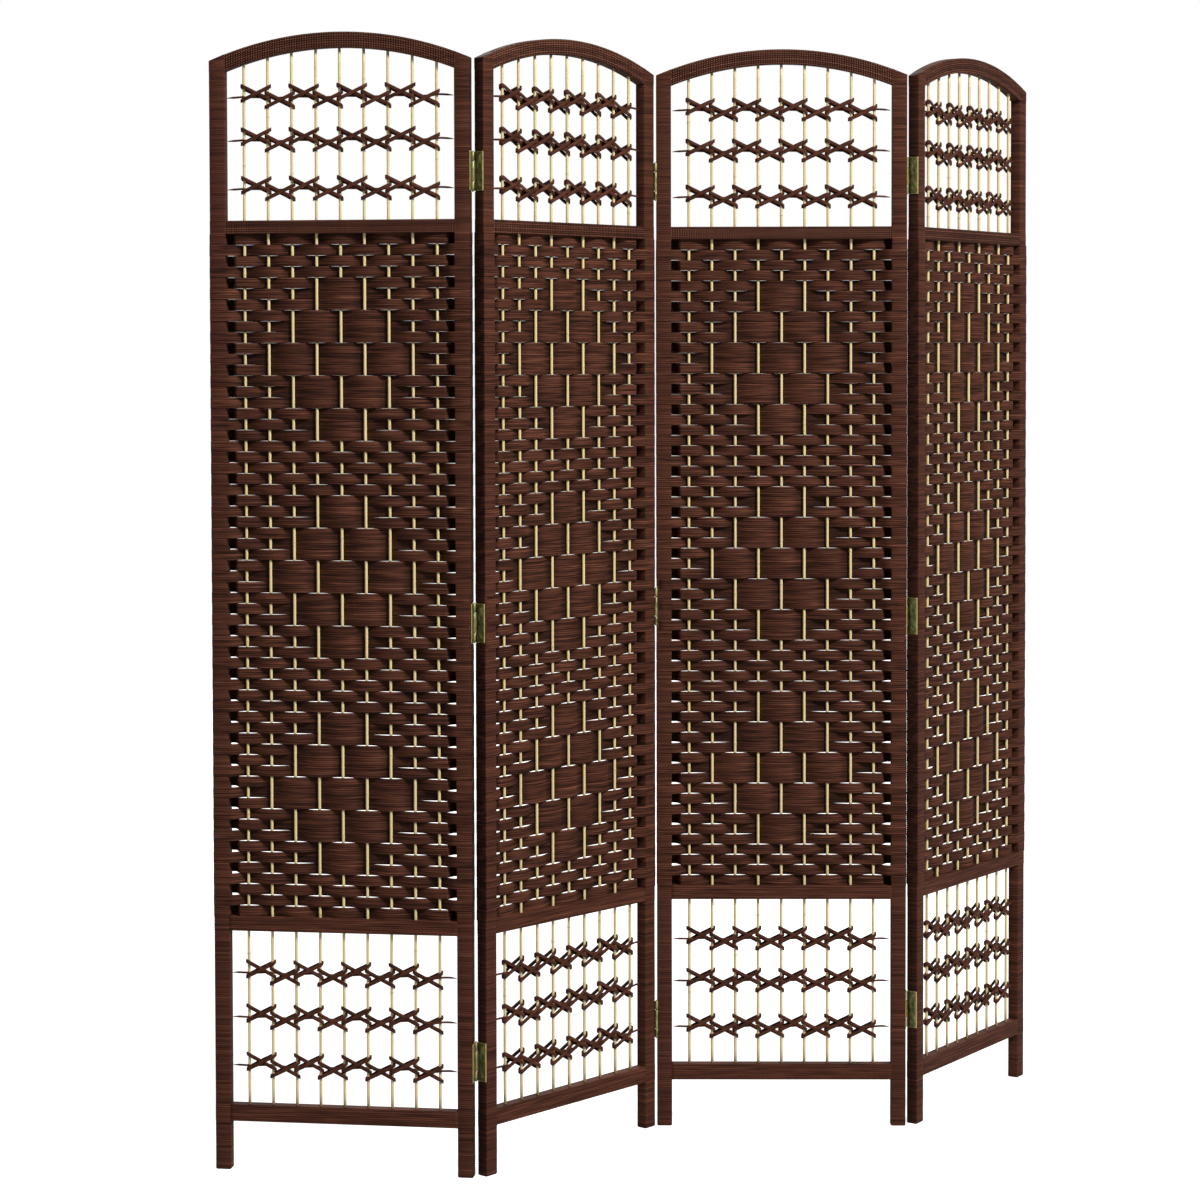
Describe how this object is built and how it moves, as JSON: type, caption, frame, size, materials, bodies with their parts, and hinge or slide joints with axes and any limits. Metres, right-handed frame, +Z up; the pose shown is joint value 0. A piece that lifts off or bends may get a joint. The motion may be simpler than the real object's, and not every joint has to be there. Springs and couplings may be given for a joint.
{
  "type": "folding screen",
  "caption": "Folding screen of hinged arched leaves, each a dark wound frame with a woven fibre mat between open lattices of thin bamboo canes.",
  "frame": {"origin": "on the floor, under the middle of the box round the standing screen", "axes": "+Z up, +X along the screen from its left leaf to its right leaf as seen from the front, +Y towards its back"},
  "size_m": [1.4244, 0.2308, 1.7],
  "materials": {
    "wound_fibre": "timber wound with fine dark brown paper fibre, matt to satin",
    "paper_weave": "flat strips of dark brown twisted paper, satin",
    "bamboo_cane": "pale natural bamboo, satin",
    "antique_brass": "antique brass, satin"
  },
  "bodies": {
    "panel_1": {"hinge_1_2_lower_pin": "antique_brass", "hinge_1_2_lower_plate_left": "antique_brass", "hinge_1_2_middle_pin": "antique_brass", "hinge_1_2_middle_plate_left": "antique_brass", "hinge_1_2_upper_pin": "antique_brass", "hinge_1_2_upper_plate_left": "antique_brass", "panel_1_arch_rail": "wound_fibre", "panel_1_bottom_rail": "wound_fibre", "panel_1_cane_lattice": "bamboo_cane", "panel_1_lower_rail": "wound_fibre", "panel_1_stile_left": "wound_fibre", "panel_1_stile_right": "wound_fibre", "panel_1_upper_rail": "wound_fibre", "panel_1_woven_mat": "paper_weave"},
    "panel_2": {"hinge_1_2_lower_plate_right": "antique_brass", "hinge_1_2_middle_plate_right": "antique_brass", "hinge_1_2_upper_plate_right": "antique_brass", "hinge_2_3_lower_plate_left": "antique_brass", "hinge_2_3_middle_plate_left": "antique_brass", "hinge_2_3_upper_plate_left": "antique_brass", "panel_2_arch_rail": "wound_fibre", "panel_2_bottom_rail": "wound_fibre", "panel_2_cane_lattice": "bamboo_cane", "panel_2_lower_rail": "wound_fibre", "panel_2_stile_left": "wound_fibre", "panel_2_stile_right": "wound_fibre", "panel_2_upper_rail": "wound_fibre", "panel_2_woven_mat": "paper_weave"},
    "panel_3": {"hinge_2_3_lower_pin": "antique_brass", "hinge_2_3_lower_plate_right": "antique_brass", "hinge_2_3_middle_pin": "antique_brass", "hinge_2_3_middle_plate_right": "antique_brass", "hinge_2_3_upper_pin": "antique_brass", "hinge_2_3_upper_plate_right": "antique_brass", "hinge_3_4_lower_pin": "antique_brass", "hinge_3_4_lower_plate_left": "antique_brass", "hinge_3_4_middle_pin": "antique_brass", "hinge_3_4_middle_plate_left": "antique_brass", "hinge_3_4_upper_pin": "antique_brass", "hinge_3_4_upper_plate_left": "antique_brass", "panel_3_arch_rail": "wound_fibre", "panel_3_bottom_rail": "wound_fibre", "panel_3_cane_lattice": "bamboo_cane", "panel_3_lower_rail": "wound_fibre", "panel_3_stile_left": "wound_fibre", "panel_3_stile_right": "wound_fibre", "panel_3_upper_rail": "wound_fibre", "panel_3_woven_mat": "paper_weave"},
    "panel_4": {"hinge_3_4_lower_plate_right": "antique_brass", "hinge_3_4_middle_plate_right": "antique_brass", "hinge_3_4_upper_plate_right": "antique_brass", "panel_4_arch_rail": "wound_fibre", "panel_4_bottom_rail": "wound_fibre", "panel_4_cane_lattice": "bamboo_cane", "panel_4_lower_rail": "wound_fibre", "panel_4_stile_left": "wound_fibre", "panel_4_stile_right": "wound_fibre", "panel_4_upper_rail": "wound_fibre", "panel_4_woven_mat": "paper_weave"}
  },
  "joints": [
    {"name": "fold_1_2", "type": "hinge", "parent": "panel_2", "child": "panel_1", "pos_m": [-0.36764, -0.09603, 0.826], "axis": [0, 0, -1], "range_deg": [-57.5, 122.5]},
    {"name": "fold_2_3", "type": "hinge", "parent": "panel_2", "child": "panel_3", "pos_m": [0, 0.05069, 0.826], "axis": [0, 0, -1], "range_deg": [-50, 130]},
    {"name": "fold_3_4", "type": "hinge", "parent": "panel_3", "child": "panel_4", "pos_m": [0.36764, -0.09603, 0.809], "axis": [0, 0, 1], "range_deg": [-57.5, 122.5]}
  ]
}
